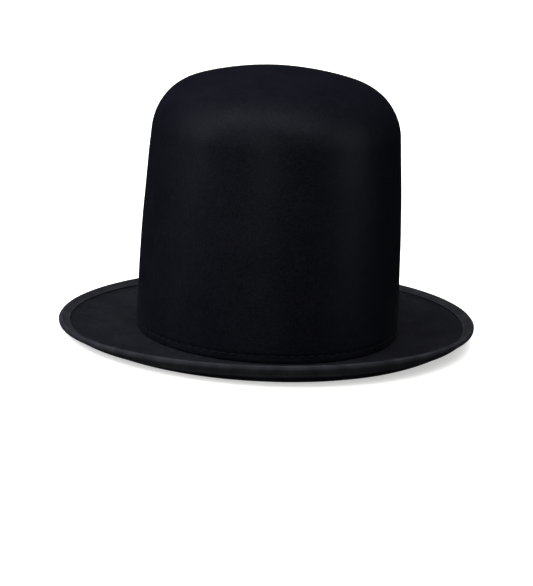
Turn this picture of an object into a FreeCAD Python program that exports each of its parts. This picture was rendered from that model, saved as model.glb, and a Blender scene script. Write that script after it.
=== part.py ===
"""Tall round-topped felt hat, in millimetres.

+Z is up and the wearer faces -Y.  The origin is on the surface that the hat stands on, in the middle of
the brim's outline.  The brim's upper face meets the crown at the height "brim_felt".
"""
import FreeCAD, Part
import math
import os
import Sketcher

Vector = FreeCAD.Vector
Z_UP = Vector(0, 0, 1)

DIMENSIONS = [
    # crown: an oval shell with a gently bulged wall, a round shoulder and a shallow dome
    ("crown_half_width", 86.0),
    ("crown_half_length", 102.0),
    ("crown_height", 172.3),
    ("crown_felt", 2.0),
    ("wall_radius", 1430.0),
    ("shoulder_half_width", 81.0),
    ("shoulder_radius", 38.0),
    ("dome_radius", 186.0),
    # brim: flat next to the crown, then rising, then curling up at the edge
    ("brim_half_width", 136.5),
    ("brim_shift", -0.4),
    ("brim_half_length", 154.0),
    ("brim_felt", 2.0),
    ("brim_flat", 5.0),
    ("rise_mean", 3.2),
    ("rise_right", 3.6),
    ("rise_back", 0.9),
    ("rise_oval", 1.5),
    ("rise_twist", 1.3),
    ("curl_width", 11.5),
    ("curl_mean", 4.2),
    ("curl_front", 2.7),
    ("curl_oval", -2.4),
    ("curl_twist", -1.1),
    ("collar_height", 12.0),
    ("collar_bend", 2.0),
    ("rest_step", 0.1),
    ("rest_margin", 0.5),
    ("rest_plate", 0.5),
    ("fit_gap", 0.1),
    # ribbon folded over the edge, and the wire inside the fold
    ("ribbon_cloth", 0.4),
    ("ribbon_gap", 0.2),
    ("ribbon_face", 5.2),
    ("edge_setback", 2.2),
    ("wire_radius", 0.5),
    ("wire_shift", 0.2),
    ("ferrule_wall", 0.3),
    ("ferrule_length", 12.0),
    # threads
    ("seam_height", 4.5),
    ("seam_pitch", 6.2),
    ("seam_stitch", 4.6),
    ("seam_thread", 0.6),
    ("edge_inset", 4.2),
    ("edge_pitch", 5.0),
    ("edge_stitch", 3.2),
    ("edge_thread", 0.3),
    # sweatband, its reed and tape
    ("band_half_width", 81.1),
    ("band_half_length", 97.1),
    ("band_leather", 0.8),
    ("band_base", 2.4),
    ("band_height", 36.0),
    ("reed_radius", 0.6),
    ("reed_height", 1.35),
    ("tape_cloth", 0.25),
    ("tape_height", 9.0),
    ("band_stitch_height", 4.2),
    ("band_pitch", 5.0),
    ("band_stitch", 2.6),
    ("band_thread", 0.36),
    ("zigzag_base", 14.4),
    ("zigzag_height", 22.0),
    ("zigzag_half_width", 2.2),
    ("zigzag_slack", 0.7),
    # lining
    ("lining_inset", 3.0),
    ("lining_cloth", 0.4),
    ("lining_base", 16.0),
    ("lining_seam", 142.0),
    ("piping_radius", 0.7),
    # label and bow
    ("label_side", 8.0),
    ("label_width", 26.0),
    ("label_height", 12.0),
    ("label_cloth", 0.3),
    ("label_base", 14.0),
    ("bow_height", 11.0),
    ("bow_loop", 8.0),
    ("bow_ribbon", 3.2),
    ("bow_depth", 2.6),
    ("bow_loop_root", 0.64),
    ("bow_loop_end", 1.44),
]

BRIM_SECTIONS = 32
CURVE_POINTS = 6
SLOPE_STEP = 0.05
ZIGZAGS = 8
BACK = 90.0
WIRE_END_GAP = 0.15

doc = FreeCAD.newDocument("felt_hat")
sheet = doc.addObject("Spreadsheet::Sheet", "dims")
for row, (alias, value) in enumerate(DIMENSIONS, start=1):
    sheet.set("A%d" % row, alias)
    sheet.set("B%d" % row, str(value))
    sheet.setAlias("B%d" % row, alias)
doc.recompute()


def dim(alias):
    """The value of one cell of the sheet."""
    return float(sheet.get(alias))


# ---------------------------------------------------------------- crown and lining shells

def origin_plane(body, role):
    for feature in body.Origin.OriginFeatures:
        if feature.Role == role:
            return feature
    raise RuntimeError("no origin plane " + role)


def crown_plug(name, insets=()):
    """The solid inside the crown's outer surface, moved inwards by the sum of these cells of the sheet."""
    offset = sum(dim(alias) for alias in insets)
    less = "".join(" - dims." + alias for alias in insets)
    body = doc.addObject("PartDesign::Body", name + "_body")
    sketch = body.newObject("Sketcher::SketchObject", name + "_profile")
    sketch.AttachmentSupport = [(origin_plane(body, "XZ_Plane"), "")]
    sketch.MapMode = "FlatFace"

    foot = dim("brim_felt") + dim("fit_gap")
    top = dim("brim_felt") + dim("crown_height") - offset
    half_width = dim("crown_half_width") - offset
    shoulder_x = dim("shoulder_half_width") - offset
    wall_r = dim("wall_radius") - offset
    shoulder_r = dim("shoulder_radius") - offset
    dome_r = dim("dome_radius") - offset
    dome_z = top - dome_r
    centre = Vector(shoulder_x - shoulder_r, 0, 0)
    centre.y = dome_z + math.sqrt((dome_r - shoulder_r) ** 2 - centre.x ** 2)
    wall_top = Vector(shoulder_x, centre.y, 0)
    wall_foot = Vector(half_width, foot, 0)
    to_dome = (centre - Vector(0, dome_z, 0)).normalize()
    dome_foot = centre + to_dome * shoulder_r
    chord = wall_top - wall_foot
    outward = Vector(chord.y, -chord.x, 0).normalize()
    wall_mid = (wall_top + wall_foot) * 0.5 + outward * (chord.Length ** 2 / (8 * wall_r))
    shoulder_dir = (to_dome + Vector(1, 0, 0)).normalize()
    dome_mid_angle = (math.atan2(to_dome.y, to_dome.x) + math.pi / 2) / 2
    dome_mid = Vector(dome_r * math.cos(dome_mid_angle), dome_z + dome_r * math.sin(dome_mid_angle), 0)

    base = sketch.addGeometry(Part.LineSegment(Vector(0, foot, 0), wall_foot))
    wall = sketch.addGeometry(Part.Arc(wall_foot, wall_mid, wall_top))
    shoulder = sketch.addGeometry(Part.Arc(wall_top, centre + shoulder_dir * shoulder_r, dome_foot))
    dome = sketch.addGeometry(Part.Arc(dome_foot, dome_mid, Vector(0, top, 0)))
    axis = sketch.addGeometry(Part.LineSegment(Vector(0, top, 0), Vector(0, foot, 0)))
    start, end, middle = 1, 2, 3
    sketch.addConstraint([
        Sketcher.Constraint("Coincident", base, end, wall, start),
        Sketcher.Constraint("Tangent", wall, end, shoulder, start),
        Sketcher.Constraint("Tangent", shoulder, end, dome, start),
        Sketcher.Constraint("Coincident", dome, end, axis, start),
        Sketcher.Constraint("Coincident", axis, end, base, start),
        Sketcher.Constraint("PointOnObject", dome, middle, -2),
        Sketcher.Constraint("PointOnObject", axis, start, -2),
        Sketcher.Constraint("Vertical", axis),
        Sketcher.Constraint("Horizontal", base),
    ])
    sized = [
        ("foot", Sketcher.Constraint("DistanceY", -1, 1, base, start, foot),
         "dims.brim_felt + dims.fit_gap"),
        ("top", Sketcher.Constraint("DistanceY", -1, 1, axis, start, top),
         "dims.brim_felt + dims.crown_height" + less),
        ("half_width", Sketcher.Constraint("DistanceX", -1, 1, wall, start, half_width),
         "dims.crown_half_width" + less),
        ("shoulder_x", Sketcher.Constraint("DistanceX", -1, 1, shoulder, start, shoulder_x),
         "dims.shoulder_half_width" + less),
        ("wall_r", Sketcher.Constraint("Radius", wall, wall_r), "dims.wall_radius" + less),
        ("shoulder_r", Sketcher.Constraint("Radius", shoulder, shoulder_r), "dims.shoulder_radius" + less),
        ("dome_r", Sketcher.Constraint("Radius", dome, dome_r), "dims.dome_radius" + less),
    ]
    for label, constraint, expression in sized:
        index = sketch.addConstraint(constraint)
        sketch.renameConstraint(index, label)
        sketch.setExpression("Constraints." + label, expression)
    turn = body.newObject("PartDesign::Revolution", name + "_turn")
    turn.Profile = sketch
    turn.ReferenceAxis = (sketch, ["V_Axis"])
    turn.Angle = 360.0
    doc.recompute()

    oval = doc.addObject("Part::Scale", name + "_oval")
    oval.Base = body
    oval.Uniform = False
    oval.XScale = 1.0
    oval.ZScale = 1.0
    oval.setExpression("YScale", "(dims.crown_half_length%s) / (dims.crown_half_width%s)" % (less, less))
    return oval


def boolean(kind, name, base, tool):
    result = doc.addObject("Part::" + kind, name)
    result.Label = name
    result.Base = base
    result.Tool = tool
    return result


def slab(name, low, high):
    """A box wide enough for the whole crown, between two heights given as sheet expressions."""
    box = doc.addObject("Part::Box", name)
    box.setExpression("Length", "4 * dims.crown_half_length")
    box.setExpression("Width", "4 * dims.crown_half_length")
    box.setExpression("Height", "(%s) - (%s)" % (high, low))
    box.setExpression("Placement.Base.x", "-2 * dims.crown_half_length")
    box.setExpression("Placement.Base.y", "-2 * dims.crown_half_length")
    box.setExpression("Placement.Base.z", low)
    return box


crown_felt = boolean("Cut", "crown_felt", crown_plug("crown_outer"),
                     crown_plug("crown_inner", ["crown_felt"]))


def lining_shell(name, low, high):
    """The part of the lining between two heights."""
    outer = crown_plug(name + "_outer", ["lining_inset"])
    inner = crown_plug(name + "_inner", ["lining_inset", "lining_cloth"])
    shell = boolean("Cut", name + "_shell", outer, inner)
    return boolean("Common", name, shell, slab(name + "_slab", low, high))


lining_side = lining_shell("lining_side", "dims.lining_base",
                           "dims.lining_seam - dims.piping_radius - dims.fit_gap")
lining_tip = lining_shell("lining_tip", "dims.lining_seam + dims.piping_radius + dims.fit_gap",
                          "2 * dims.crown_height")


# ---------------------------------------------------------------- oval rings of one section

def oval_spine(name, half_width, half_length, height):
    """An ellipse whose long axis lies along Y, so that it starts at the back of the hat."""
    spine = doc.addObject("Part::Ellipse", name)
    spine.setExpression("MajorRadius", half_length)
    spine.setExpression("MinorRadius", half_width)
    spine.Placement = FreeCAD.Placement(Vector(0, 0, 0), FreeCAD.Rotation(Z_UP, 90))
    spine.setExpression("Placement.Base.z", height)
    return spine


def swept_ring(name, section, spine):
    ring = doc.addObject("Part::Sweep", name)
    ring.Label = name
    ring.Sections = [section]
    ring.Spine = (spine, ["Edge1"])
    ring.Solid = True
    ring.Frenet = False
    return ring


def round_section(name, radius, half_length, height):
    """A circle in the plane X = 0, at the back of the hat."""
    circle = doc.addObject("Part::Circle", name)
    circle.setExpression("Radius", radius)
    circle.Placement = FreeCAD.Placement(Vector(0, 0, 0), FreeCAD.Rotation(Vector(0, 1, 0), 90))
    circle.setExpression("Placement.Base.y", half_length)
    circle.setExpression("Placement.Base.z", height)
    return circle


def flat_section(name, thickness, height, centre_y, base_z):
    """An upright rectangle in the plane X = 0, at the back of the hat."""
    plane = doc.addObject("Part::Plane", name)
    plane.setExpression("Length", height)
    plane.setExpression("Width", thickness)
    plane.Placement = FreeCAD.Placement(Vector(0, 0, 0), FreeCAD.Rotation(Vector(0, 1, 0), -90))
    plane.setExpression("Placement.Base.y", "(%s) - (%s) / 2" % (centre_y, thickness))
    plane.setExpression("Placement.Base.z", base_z)
    return plane


def round_ring(name, radius, half_width, half_length, height):
    section = round_section(name + "_section", radius, half_length, height)
    return swept_ring(name, section, oval_spine(name + "_spine", half_width, half_length, height))


def upright_ring(name, thickness, height, half_width, half_length, base_z):
    section = flat_section(name + "_section", thickness, height, half_length, base_z)
    return swept_ring(name, section, oval_spine(name + "_spine", half_width, half_length, base_z))


BAND_X = "dims.band_half_width"
BAND_Y = "dims.band_half_length"
sweatband = upright_ring("sweatband", "dims.band_leather", "dims.band_height", BAND_X, BAND_Y,
                         "dims.band_base")

REED_SHIFT = " - dims.tape_cloth"
reed = round_ring("sweatband_reed", "dims.reed_radius", BAND_X + REED_SHIFT, BAND_Y + REED_SHIFT,
                  "dims.reed_height")

# the tape is folded round the reed, and its two ends run up between the leather and the felt
TAPE_INSIDE = "dims.reed_radius + dims.fit_gap / 2"
tape_tube = round_ring("tape_tube", TAPE_INSIDE + " + dims.tape_cloth", BAND_X + REED_SHIFT,
                       BAND_Y + REED_SHIFT, "dims.reed_height")
TAIL_SHIFT = " + dims.band_leather / 2 + dims.fit_gap / 2 + dims.tape_cloth / 2"
tape_tail = upright_ring("tape_tail", "dims.tape_cloth", "dims.tape_height", BAND_X + TAIL_SHIFT,
                         BAND_Y + TAIL_SHIFT, "dims.reed_height")
tape_core = round_ring("tape_core", TAPE_INSIDE, BAND_X + REED_SHIFT, BAND_Y + REED_SHIFT,
                       "dims.reed_height")
tape_body = boolean("Fuse", "tape_body", tape_tube, tape_tail)
reed_tape = boolean("Cut", "reed_tape", tape_body, tape_core)


def lining_seam_half_width():
    """Half width of the lining's middle at the height of its seam."""
    middle = dim("lining_inset") + dim("lining_cloth") / 2
    sketch = doc.getObject("crown_outer_profile")
    shoulder = sketch.Geometry[2]
    rise = dim("lining_seam") - shoulder.Center.y
    return shoulder.Center.x + math.sqrt((shoulder.Radius - middle) ** 2 - rise ** 2)


doc.recompute()
seam_row = len(DIMENSIONS) + 1
sheet.set("A%d" % seam_row, "piping_half_width")
sheet.set("B%d" % seam_row, str(round(lining_seam_half_width(), 3)))
sheet.setAlias("B%d" % seam_row, "piping_half_width")
doc.recompute()
lining_piping = round_ring(
    "lining_piping", "dims.piping_radius", "dims.piping_half_width",
    "dims.piping_half_width * (dims.crown_half_length - dims.lining_inset)"
    " / (dims.crown_half_width - dims.lining_inset)", "dims.lining_seam")


# ---------------------------------------------------------------- brim

class BrimSection:
    """The upright section of the brim at one angle of its oval: 0 is the right side, 90 the back."""

    def __init__(self, degrees):
        angle = math.radians(degrees)
        cosine, sine = math.cos(angle), math.sin(angle)
        self.foot = Vector(dim("crown_half_width") * cosine, dim("crown_half_length") * sine, 0)
        lip = Vector(dim("brim_half_width") * cosine + dim("brim_shift"), dim("brim_half_length") * sine, 0)
        self.width = (lip - self.foot).Length
        self.direction = (lip - self.foot).normalize()
        self.edge = self.width - dim("edge_setback")
        oval, twist = math.cos(2 * angle), math.sin(2 * angle)
        self.rise = (dim("rise_mean") + dim("rise_right") * cosine + dim("rise_back") * sine
                     + dim("rise_oval") * oval + dim("rise_twist") * twist)
        self.curl = (dim("curl_mean") - dim("curl_front") * sine
                     + dim("curl_oval") * oval + dim("curl_twist") * twist)

    def height(self, out):
        """Height of the felt's upper face, "out" mm outwards from the crown's foot."""
        slope = max(0.0, (out - dim("brim_flat")) / (self.edge - dim("brim_flat")))
        curl = max(0.0, (out - self.edge + dim("curl_width")) / dim("curl_width"))
        return dim("brim_felt") + self.rise * slope ** 1.5 + self.curl * curl ** 2

    def tilt(self, out):
        return math.atan2(self.height(out) - self.height(out - SLOPE_STEP), SLOPE_STEP)

    def offset(self, out, depth, along=0.0):
        """Out and height of the point "depth" below the upper face and "along" it, outwards."""
        tilt = self.tilt(out)
        return (out + depth * math.sin(tilt) + along * math.cos(tilt),
                self.height(out) - depth * math.cos(tilt) + along * math.sin(tilt))

    def point(self, out, height):
        return self.foot + self.direction * out + Z_UP * height

    def curve(self, first, last, depth):
        """A smooth edge along the face, from one distance out to another."""
        points = []
        for index in range(CURVE_POINTS):
            out = first + (last - first) * index / (CURVE_POINTS - 1)
            points.append(self.point(*self.offset(out, depth)))
        spline = Part.BSplineCurve()
        spline.interpolate(points)
        return spline.toShape()

    def line(self, start, end):
        return Part.makeLine(self.point(*start), self.point(*end))

    def arc(self, start, middle, end):
        return Part.Arc(self.point(*start), self.point(*middle), self.point(*end)).toShape()

    def nose(self, radius):
        """The half circle of this radius about the middle of the felt's edge."""
        half = dim("brim_felt") / 2
        return (self.offset(self.edge, half - radius), self.offset(self.edge, half, radius),
                self.offset(self.edge, half + radius))


def felt_section(section):
    """The collar and the brim; its underside is a little above the plate that the hat rests on."""
    felt = dim("brim_felt")
    outer = -dim("crown_felt") - dim("fit_gap")
    inner = outer - felt
    bend = dim("collar_bend")
    top = felt + dim("collar_height")
    flat = dim("brim_flat")
    under = dim("rest_step")
    corner = bend * (1 - math.sqrt(0.5))
    end = section.edge - dim("wire_radius") - dim("ferrule_wall")
    return Part.Wire([
        section.line((outer, top), (outer, felt)),
        section.line((outer, felt), (flat, felt)),
        section.curve(flat, end, 0.0),
        section.line(section.offset(end, 0.0), section.offset(end, felt - under)),
        section.curve(end, flat, felt - under),
        section.line((flat, under), (inner + bend, under)),
        section.arc((inner + bend, under), (inner + corner, under + corner), (inner, under + bend)),
        section.line((inner, under + bend), (inner, top)),
        section.line((inner, top), (outer, top)),
    ])


def ribbon_section(section):
    felt = dim("brim_felt")
    inside = dim("ribbon_gap")
    outside = inside + dim("ribbon_cloth")
    start = section.edge - dim("ribbon_face") * math.cos(section.tilt(section.edge - dim("ribbon_face") / 2))
    outer_nose = section.nose(felt / 2 + outside)
    inner_nose = section.nose(felt / 2 + inside)
    return Part.Wire([
        section.curve(start, section.edge, -outside),
        section.arc(*outer_nose),
        section.curve(section.edge, start, felt + outside),
        section.line(section.offset(start, felt + outside), section.offset(start, felt + inside)),
        section.curve(start, section.edge, felt + inside),
        section.arc(*reversed(inner_nose)),
        section.curve(section.edge, start, -inside),
        section.line(section.offset(start, -inside), section.offset(start, -outside)),
    ])


def rod_section(radius):
    """A circle round the wire's centre line, just outside the felt's edge."""
    def build(section):
        out, height = section.offset(section.edge, dim("brim_felt") / 2, dim("wire_shift"))
        top = (out, height + radius)
        bottom = (out, height - radius)
        return Part.Wire([
            section.arc(top, (out + radius, height), bottom),
            section.arc(bottom, (out - radius, height), top),
        ])
    return build


def lofted(name, build, first=0.0, last=360.0, count=BRIM_SECTIONS):
    """A solid through the sections that "build" makes at even angles of the brim's oval."""
    closed = last - first >= 360.0
    steps = count if closed else count - 1
    sections = []
    for index in range(count):
        section = doc.addObject("Part::Feature", "%s_section_%02d" % (name, index))
        section.Shape = build(BrimSection(first + (last - first) * index / steps))
        sections.append(section)
    loft = doc.addObject("Part::Loft", name)
    loft.Label = name
    loft.Sections = sections
    loft.Solid = True
    loft.Ruled = False
    loft.Closed = closed
    return loft


ferrule_half_angle = math.degrees(dim("ferrule_length") / 2 / dim("brim_half_width"))


def oval_prism(name, step):
    """A flat plate whose rim stands "step", a sheet expression, outside the crown's foot."""
    outline = oval_spine(name + "_outline", "dims.crown_half_width + " + step,
                         "dims.crown_half_length + " + step, "0")
    plate = doc.addObject("Part::Extrusion", name)
    plate.Base = outline
    plate.Dir = Z_UP
    plate.DirMode = "Custom"
    plate.setExpression("LengthFwd", "dims.rest_plate")
    plate.Solid = True
    return plate


# the flat ring round the opening on which the hat stands
rest_ring = boolean("Cut", "rest_ring", oval_prism("rest_outer", "dims.brim_flat - dims.rest_margin"),
                    oval_prism("rest_inner", "dims.collar_bend + dims.rest_margin"
                               " - dims.brim_felt - dims.crown_felt"))
brim_felt = boolean("Fuse", "brim_felt", lofted("brim_blank", felt_section), rest_ring)
brim_binding = lofted("brim_binding", ribbon_section)
brim_wire = lofted("brim_wire", rod_section(dim("wire_radius")),
                   BACK + WIRE_END_GAP, BACK + 360 - WIRE_END_GAP, BRIM_SECTIONS + 1)
ferrule_outer = lofted("ferrule_outer", rod_section(dim("wire_radius") + dim("ferrule_wall")),
                       BACK - ferrule_half_angle, BACK + ferrule_half_angle, 5)
ferrule_bore = lofted("ferrule_bore", rod_section(dim("wire_radius") + dim("fit_gap") / 2),
                      BACK - 2 * ferrule_half_angle, BACK + 2 * ferrule_half_angle, 9)
brim_wire_ferrule = boolean("Cut", "brim_wire_ferrule", ferrule_outer, ferrule_bore)


# ---------------------------------------------------------------- stitches

def oval_angles(half_width, half_length, pitch):
    """Angles of an ellipse that divide its length evenly, about one pitch apart."""
    steps = 3600
    lengths = [0.0]
    for index in range(steps):
        angle = 2 * math.pi * (index + 0.5) / steps
        lengths.append(lengths[-1] + math.hypot(half_width * math.sin(angle), half_length * math.cos(angle))
                       * 2 * math.pi / steps)
    count = round(lengths[-1] / pitch)
    angles = []
    index = 0
    for stitch in range(count):
        while lengths[index] < lengths[-1] * stitch / count:
            index += 1
        angles.append(2 * math.pi * index / steps)
    return angles


def stitch(centre, along, length, thickness):
    """One straight stitch of round thread, centred on a point."""
    along = Vector(along).normalize()
    return Part.makeCylinder(thickness / 2, length, centre - along * (length / 2), along)


def stitch_row(half_width, half_length, height, pitch, length, thickness):
    """A level row of stitches whose middles lie on an ellipse."""
    stitches = []
    for angle in oval_angles(half_width, half_length, pitch):
        centre = Vector(half_width * math.cos(angle), half_length * math.sin(angle), height)
        along = Vector(-half_width * math.sin(angle), half_length * math.cos(angle), 0)
        stitches.append(stitch(centre, along, length, thickness))
    return stitches


def thread_node(name, stitches):
    node = doc.addObject("Part::Feature", name)
    node.Label = name
    node.Shape = Part.makeCompound(stitches)
    return node


proud = dim("fit_gap") + dim("seam_thread") / 2
crown_seam_stitches = thread_node("crown_seam_stitches", stitch_row(
    dim("crown_half_width") + proud, dim("crown_half_length") + proud, dim("brim_felt") + dim("seam_height"),
    dim("seam_pitch"), dim("seam_stitch"), dim("seam_thread")))

behind = dim("band_leather") / 2 + dim("fit_gap") + dim("band_thread") / 2
sweatband_stitches = thread_node("sweatband_stitches", stitch_row(
    dim("band_half_width") - behind, dim("band_half_length") - behind, dim("band_stitch_height"),
    dim("band_pitch"), dim("band_stitch"), dim("band_thread")))


def binding_stitch_points(section):
    """Where the needle passes the ribbon's upper and lower faces."""
    inset = dim("edge_inset")
    out = section.edge - inset * math.cos(section.tilt(section.edge - inset / 2))
    clear = dim("ribbon_gap") + dim("ribbon_cloth") + dim("fit_gap") + dim("edge_thread") / 2
    felt = dim("brim_felt")
    return [section.point(*section.offset(out, -clear)), section.point(*section.offset(out, felt + clear))]


binding_rows = []
for angle in oval_angles(dim("brim_half_width"), dim("brim_half_length"), dim("edge_pitch")):
    degrees = math.degrees(angle)
    before = binding_stitch_points(BrimSection(degrees - 0.5))
    after = binding_stitch_points(BrimSection(degrees + 0.5))
    for centre, start, end in zip(binding_stitch_points(BrimSection(degrees)), before, after):
        binding_rows.append(stitch(centre, end - start, dim("edge_stitch"), dim("edge_thread")))
binding_stitches = thread_node("binding_stitches", binding_rows)

# the ends of the sweatband meet at the back, and a zigzag thread joins them on the inside
zigzag_y = dim("band_half_length") - behind - dim("fit_gap")
zigzag_step = dim("zigzag_height") / ZIGZAGS
zigzag = []
for index in range(ZIGZAGS):
    side = dim("zigzag_half_width") * (1 if index % 2 else -1)
    low = Vector(side, zigzag_y, dim("zigzag_base") + index * zigzag_step)
    high = Vector(-side, zigzag_y, dim("zigzag_base") + (index + 1) * zigzag_step)
    length = (high - low).Length - dim("zigzag_slack")
    zigzag.append(stitch((low + high) * 0.5, high - low, length, dim("band_thread")))
sweatband_back_seam = thread_node("sweatband_back_seam", zigzag)


# ---------------------------------------------------------------- label and bow inside the band

LABEL_SHIFT = " - dims.band_leather / 2 - dims.fit_gap - dims.label_cloth / 2"
label_ring = upright_ring("label_ring", "dims.label_cloth", "dims.label_height", BAND_X + LABEL_SHIFT,
                          BAND_Y + LABEL_SHIFT, "dims.label_base")
label_cutter = doc.addObject("Part::Box", "label_cutter")
label_cutter.setExpression("Length", "dims.label_width")
label_cutter.setExpression("Width", "dims.band_half_length")
label_cutter.setExpression("Height", "2 * dims.label_height")
label_cutter.setExpression("Placement.Base.x", "dims.label_side")
label_cutter.setExpression("Placement.Base.z", "dims.label_base - dims.fit_gap")
size_label = boolean("Common", "size_label", label_ring, label_cutter)


BOW_Y = "dims.band_half_length - dims.band_leather - dims.bow_ribbon / 2 - dims.fit_gap"
bow_knot = doc.addObject("Part::Box", "bow_knot")
bow_knot.setExpression("Length", "dims.bow_ribbon")
bow_knot.setExpression("Width", "dims.bow_depth")
bow_knot.setExpression("Height", "dims.bow_ribbon")
bow_knot.setExpression("Placement.Base.x", "-dims.bow_ribbon / 2")
bow_knot.setExpression("Placement.Base.y", BOW_Y + " - dims.bow_depth / 2")
bow_knot.setExpression("Placement.Base.z", "dims.bow_height - dims.bow_ribbon / 2")
bow_parts = [bow_knot]
for side, turn in (("left", -90), ("right", 90)):
    loop = doc.addObject("Part::Cone", "bow_loop_" + side)
    loop.setExpression("Radius1", "dims.bow_loop_root")
    loop.setExpression("Radius2", "dims.bow_loop_end")
    loop.setExpression("Height", "dims.bow_loop")
    loop.Placement = FreeCAD.Placement(Vector(0, 0, 0), FreeCAD.Rotation(Vector(0, 1, 0), turn))
    loop.setExpression("Placement.Base.y", BOW_Y)
    loop.setExpression("Placement.Base.z", "dims.bow_height")
    bow_parts.append(loop)
sweatband_bow = doc.addObject("Part::MultiFuse", "sweatband_bow")
sweatband_bow.Label = "sweatband_bow"
sweatband_bow.Shapes = bow_parts


# ---------------------------------------------------------------- check and write

NODES = [
    crown_felt, brim_felt, brim_binding, brim_wire, brim_wire_ferrule, binding_stitches, crown_seam_stitches,
    sweatband, reed, reed_tape, sweatband_stitches, sweatband_back_seam, sweatband_bow, size_label,
    lining_side, lining_tip, lining_piping,
]

doc.recompute()
for item in doc.Objects:
    if {"Invalid", "Error"} & set(item.State):
        raise RuntimeError("failed object: " + item.Label)
for node in NODES:
    if node.Shape.isNull() or not node.Shape.isValid() or not node.Shape.Solids:
        raise RuntimeError("bad shape: " + node.Label)

os.makedirs("parts", exist_ok=True)
for node in NODES:
    node.Shape.exportStep(os.path.join("parts", node.Label + ".step"))
    box = node.Shape.optimalBoundingBox(True, False)
    print("%-22s %3d solids %10.1f mm3  x %.1f..%.1f  y %.1f..%.1f  z %.2f..%.2f" % (
        node.Label, len(node.Shape.Solids), node.Shape.Volume, box.XMin, box.XMax, box.YMin, box.YMax,
        box.ZMin, box.ZMax))
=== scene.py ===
"""Looks for a tall round-topped felt hat, built around its CAD frame.

Lengths in the constants below are millimetres, in the CAD's frame: +Z up, the front of the hat towards -Y.
Right and left are as seen from the front.  Angles round the hat run from the right (+X, 0) through the back
(90 degrees) and the left to the front.
"""
import math
import random

import bpy
from mathutils import Matrix, Vector, noise


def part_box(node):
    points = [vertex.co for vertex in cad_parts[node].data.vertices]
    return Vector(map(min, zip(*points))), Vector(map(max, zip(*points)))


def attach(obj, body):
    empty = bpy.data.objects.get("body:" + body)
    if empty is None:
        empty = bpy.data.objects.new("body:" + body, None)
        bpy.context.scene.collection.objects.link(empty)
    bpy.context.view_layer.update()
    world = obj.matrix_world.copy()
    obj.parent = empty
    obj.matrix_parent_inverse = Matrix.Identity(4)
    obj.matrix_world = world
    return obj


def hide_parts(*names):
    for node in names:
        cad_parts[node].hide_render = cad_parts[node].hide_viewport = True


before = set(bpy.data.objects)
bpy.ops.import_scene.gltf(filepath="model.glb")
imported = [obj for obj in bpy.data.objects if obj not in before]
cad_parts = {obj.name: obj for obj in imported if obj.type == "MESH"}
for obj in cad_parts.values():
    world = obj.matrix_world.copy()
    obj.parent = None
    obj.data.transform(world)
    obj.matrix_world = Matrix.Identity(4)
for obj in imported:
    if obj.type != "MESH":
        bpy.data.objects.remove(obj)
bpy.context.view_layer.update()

MM = 0.001
TURN = 2 * math.pi
BODY = "root"

# crown
CROWN_HALF_WIDTH = 86.0
CROWN_HALF_LENGTH = 102.0
CROWN_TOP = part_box("crown_felt")[1].z / MM
CROWN_FELT = 2.0
WALL_RADIUS = 1430.0
SHOULDER_HALF_WIDTH = 81.0
SHOULDER_RADIUS = 38.0
DOME_RADIUS = 186.0

# brim: flat next to the crown, then rising, then curling up at the edge; both change round the oval
BRIM_HALF_WIDTH = 136.5
BRIM_SHIFT = -0.4
BRIM_HALF_LENGTH = 154.0
BRIM_FELT = 2.0
BRIM_FLAT = 5.0
RISE_MEAN, RISE_RIGHT, RISE_BACK, RISE_OVAL, RISE_TWIST = 3.2, 3.6, 0.9, 1.5, 1.3
CURL_WIDTH = 11.5
CURL_MEAN, CURL_FRONT, CURL_OVAL, CURL_TWIST = 4.2, 2.7, -2.4, -1.1
EDGE_SETBACK = 2.2
COLLAR_HEIGHT = 12.0
COLLAR_BEND = 2.0
FIT_GAP = 0.1
FLOOR_GAP = 0.02

# ribbon over the brim's edge
RIBBON_CLOTH = 0.4
RIBBON_GAP = 0.08
RIBBON_FACE = 5.2
RIBBON_OUTSIDE = RIBBON_GAP + RIBBON_CLOTH
RIBS = 1000

# threads
SEAM_HEIGHT = 4.5
SEAM_PITCH = 6.2
SEAM_STITCH = 4.6
SEAM_THREAD = 0.55
EDGE_PITCH = 3.2
EDGE_STITCH = 2.5
EDGE_THREAD = 0.34
EDGE_STITCH_INSET = 1.7
BAND_PITCH = 3.6
BAND_STITCH = 2.6
BAND_THREAD_WIDTH = 0.4
BAND_STITCH_HEIGHT = 4.2
ZIGZAGS = 12
ZIGZAG_HALF_WIDTH = 2.2
ZIGZAG_BASE = 14.5
ZIGZAG_TOP = 36.5

# sweatband and lining
BAND_HALF_WIDTH = 81.1
BAND_HALF_LENGTH = 97.1
BAND_LEATHER = 0.9
BAND_BASE = 2.4
BAND_TOP = 38.4
BAND_INSIDE = BAND_HALF_LENGTH - BAND_LEATHER / 2
BOW_HEIGHT = 11.0
BOW_RIBBON = 3.2
BOW_CLOTH = 0.22
LINING_INSET = 3.2
LINING_SEAM = 142.0
LINING_BASE = 16.0
LINING_CLOTH = 0.3
LINING_GATHERS = 64

# light: the soft boxes' powers are in watts
SKY_LIGHT = 2.7
LOW_LIGHT = 0.45
SKY_LEFT, SKY_RIGHT = 1.9, 0.05
OVERHEAD_LIGHT = 8.5
BACK_LIGHT = 6.5
FRONT_LIGHT = 2.7
LEFT_LIGHT = 2.8
RIGHT_LIGHT = 2.4
FLOOR_GLOW = 0.5
SOFTBOX_TARGET = (0, 0, 0.09)
SOFTBOX_COLOUR = (0.95, 0.98, 1.06)
SKY_COLOUR = (1.03, 1.01, 0.95)

# camera: angles in degrees, distance in metres
CAMERA_HEIGHT_ANGLE = 13.09
CAMERA_ROLL = 2.97
CAMERA_RAISE = 0.8474
CAMERA_DISTANCE = 1.5
CAMERA_LENS = 139.147
SENSOR_WIDTH = 36.0


# ---------------------------------------------------------------- mesh helpers

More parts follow.
